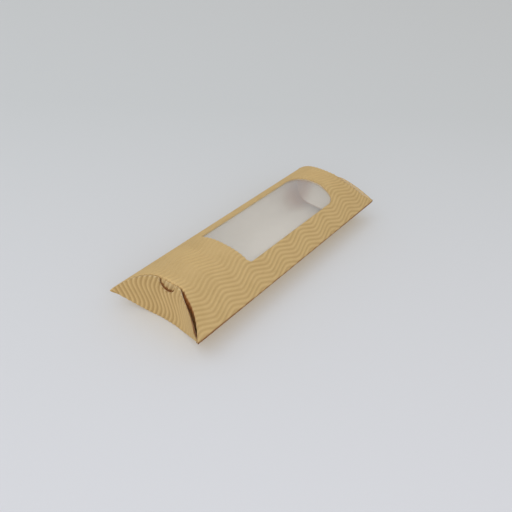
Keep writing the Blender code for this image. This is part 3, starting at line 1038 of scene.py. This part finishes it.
def makeInnerFlap(end, sign):
    lean = math.radians(innerFlap[end + "Lean"])
    inset = board["panelInset"]
    sideRoom = innerFlap["sideClearance"] - innerFlap["clearance"]
    room = innerFlap["clearance"] + sideRoom * (1 - crownShare(denseX))
    lowDense = bellyAt(denseX, board["linerBottom"]) + room
    highDense = topAt(denseX, board["linerBottom"]) - innerFlap["topClearance"]
    tip = denseX[highDense - lowDense > innerFlap["tipHeight"]].max()
    x = spaced(-tip, tip, fluteStep)
    high, low = np.interp(x, denseX, highDense), np.interp(x, denseX, lowDense)
    # down the leaning flap, so its foot is higher than an upright one's
    down = (high - low) * rowShares((high - low).max(), innerFlap["rowStep"])
    z = high - down * math.cos(lean)
    near = notchShare(x, innerFlap["bulgeHalf"]) * smooth(1 - down / innerFlap["bulgeDown"])
    y = endAt(x, inset) + down * math.sin(lean) - innerFlap["bulge"] * near
    outer = np.stack([x + 0 * y, y, z], -1)
    # square to the crosswise slope and to the way down
    across = np.stack([np.ones_like(x), slopeOf(endAt, x, inset), np.gradient(high, x)], -1)
    fall = np.array([0, math.sin(lean), -math.cos(lean)])
    normal = unit(np.cross(across, fall))
    normal = normal * -np.sign(normal[:, 1:2]) + 0 * outer
    ridge = ridgeShare(endArc(x) + 0 * down, sign * (down - endAt(x, inset)), topFlutes)
    depth = board["fluteRise"] * crush(down + innerFlap["creaseWidth"]) * (1 - ridge)
    foot = nearShare(high - low - down, innerFlap["footReach"])
    glow = foot + frontShade(x, z, down, near) if end == "front" else foot
    dark = foot
    if end == "rear":
        corner = smooth((-x - innerFlap["cornerStart"]) / innerFlap["cornerReach"])
        dark = np.maximum(dark, innerFlap["cornerDark"] * corner)
    hinge = hingeBlend((0, -sign * endAt(0, inset), topAt(0, inset)),
                       (0, -sign * sleeve["crownRise"], -sleeve["endDish"]),
                       innerFlap["blendLength"])
    makePlies(end + "_inner_flap", sign, outer, normal, (depth, depth + board["paper"]),
              1 + 0 * dark, {"ridge": ridge, "edge": glow}, -dark, 0, hinge)


makeInnerFlap("front", -1)
makeInnerFlap("rear", 1)

print("stage: film and tab")

filmSheet = {
    "lap": 4.5 * mm,
    "depth": 1.35 * mm,
    "thickness": 0.2 * mm,
    "step": 1.2 * mm,
    "ripple": 0.10 * mm,             # two long ripples that cross at a slant,
    "longWave": (61 * mm, 83 * mm),  # with their lengths along and across
    "shortWave": (37 * mm, 49 * mm),
    "shortShare": 0.6,
    "shortPhase": 1.2,
}


def makeFilmSheet():
    half = windowCut["halfArc"] + filmSheet["lap"]
    arc = spaced(-half, half, filmSheet["step"])
    along = spaced(windowCut["front"] - filmSheet["lap"], windowCut["rear"] + filmSheet["lap"],
                   filmSheet["step"])[:, None]
    points, normal = sampleLine(topLine(), arc)
    normal = np.stack([normal[:, 0], 0 * arc, normal[:, 1]], -1)[None]
    outer = np.stack([points[:, 0] + 0 * along, along + 0 * arc, points[:, 1] + 0 * along], -1)
    (longY, longX), (shortY, shortX) = filmSheet["longWave"], filmSheet["shortWave"]
    ripple = np.sin(2 * math.pi * (along / longY + arc / longX))
    ripple = ripple + filmSheet["shortShare"] * np.sin(
        2 * math.pi * (along / shortY - arc / shortX) + filmSheet["shortPhase"])
    raised = (1 + filmSheet["shortShare"] + ripple) / 2
    depth = (filmSheet["depth"] + filmSheet["ripple"] * raised)[..., None]
    film = sheetMesh("film_sheet", outer - depth * normal,
                     outer - (depth + filmSheet["thickness"]) * normal, {})
    finishPiece(film, clearFilm, "clear_film", "window_film", "sleeve")


makeFilmSheet()
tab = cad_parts["glue_tab"]
tab.data.materials.clear()
tab.data.materials.append(linerPaper)

print("stage: floor, light and camera")

room = {
    "floorColour": (0.440, 0.508, 0.616),
    "floorLift": (0.226, 0.170, 0.106),  # light of its own, to keep the shadows pale and warm
    # painted light and shade: the floor's colour and glow are brighter towards the right and the
    # camera, and dimmer towards the back and the left
    "floorBright": (1.09, 1.09, 1.09),   # towards the right and the camera,
    "floorDim": (0.925, 0.950, 0.925),   # and towards the back and the left,
    "floorSpread": 0.35,                 # this far from the box
    "floorRoughness": 0.9,
    "floorSheen": 0.2,
    "floorHalf": 12.0,
    "worldColour": (0.97, 0.985, 1.0),
    "worldStrength": 0.66,
    "backdrop": (0.600, 0.618, 0.630),   # what the camera sees past the floor
    "keyPlace": (-0.50, -0.60, 1.15),
    "keySize": 1.2,
    "keyPower": 3.5,
    "keyColour": (1.0, 0.985, 0.96),
    "fillPlace": (0.84, -1.10, 0.55),
    "fillSize": 1.5,
    "fillPower": 8.1,
    "fillColour": (1.0, 0.99, 0.97),
}


def makeLamp(name):
    lamp = bpy.data.lights.new(name, "AREA")
    lamp.size = room[name + "Size"]
    lamp.energy = room[name + "Power"]
    lamp.color = room[name + "Colour"]
    thing = addObject(name, lamp)
    thing.location = room[name + "Place"]
    thing.rotation_mode = "QUATERNION"
    thing.rotation_quaternion = (-thing.location).to_track_quat("-Z", "Y")


def makeFloor():
    material, nodes, links, shader = newMaterial("pale_floor")
    place = nodes.new("ShaderNodeTexCoord")
    split = nodes.new("ShaderNodeSeparateXYZ")
    links.new(place.outputs["Object"], split.inputs["Vector"])
    ahead = mathNode(nodes, links, "SUBTRACT", split.outputs["X"], split.outputs["Y"])
    side = rangeNode(nodes, links, ahead, -room["floorSpread"], room["floorSpread"])
    for key, socket in (("floorColour", "Base Color"), ("floorLift", "Emission Color")):
        dim, bright = (tuple(np.multiply(room[key], room[level]))
                       for level in ("floorDim", "floorBright"))
        links.new(mixColour(nodes, links, side, dim, bright), shader.inputs[socket])
    shader.inputs["Emission Strength"].default_value = 1.0
    shader.inputs["Roughness"].default_value = room["floorRoughness"]
    shader.inputs["Specular IOR Level"].default_value = room["floorSheen"]
    half = room["floorHalf"]
    corners = [(-half, -half, 0), (half, -half, 0), (half, half, 0), (-half, half, 0)]
    mesh = bpy.data.meshes.new("floor")
    mesh.from_pydata(corners, [], [(0, 1, 2, 3)])
    floor = addObject("floor", mesh)
    floor.data.materials.append(material)


def makeWorld():
    world = bpy.data.worlds.new("studio")
    world.use_nodes = True
    nodes, links = world.node_tree.nodes, world.node_tree.links
    path = nodes.new("ShaderNodeLightPath")
    lit = tuple(np.multiply(room["worldColour"], room["worldStrength"]))
    colour = mixColour(nodes, links, path.outputs["Is Camera Ray"], lit, room["backdrop"])
    links.new(colour, nodes["Background"].inputs["Color"])
    bpy.context.scene.world = world


view = {
    "azimuth": 30.517,
    "elevation": 36.004,
    "roll": 8.173,
    "distance": 0.47733,
    "aside": (0.00014, -0.01162),  # along the picture's axes before the roll
    "lens": 47.739,
    "sensor": 36.0,
    "clipStart": 0.01,
}


def makeCamera():
    around, above, roll = (math.radians(view[key]) for key in ("azimuth", "elevation", "roll"))
    turn = Matrix.Rotation(around, 4, "Z") @ Matrix.Rotation(math.pi / 2 - above, 4, "X")
    place = turn @ Matrix.Translation((*view["aside"], view["distance"]))
    data = bpy.data.cameras.new("camera")
    data.lens = view["lens"]
    data.sensor_width = view["sensor"]
    data.clip_start = view["clipStart"]
    camera = addObject("camera", data)
    camera.matrix_world = (Matrix.Translation((0, 0, sleeve["bellyDrop"])) @ place
                           @ Matrix.Rotation(roll, 4, "Z"))
    bpy.context.scene.camera = camera


makeFloor()
makeWorld()
makeLamp("key")
makeLamp("fill")
makeCamera()
bpy.context.scene.view_settings.view_transform = "Standard"

print("stage: finish")
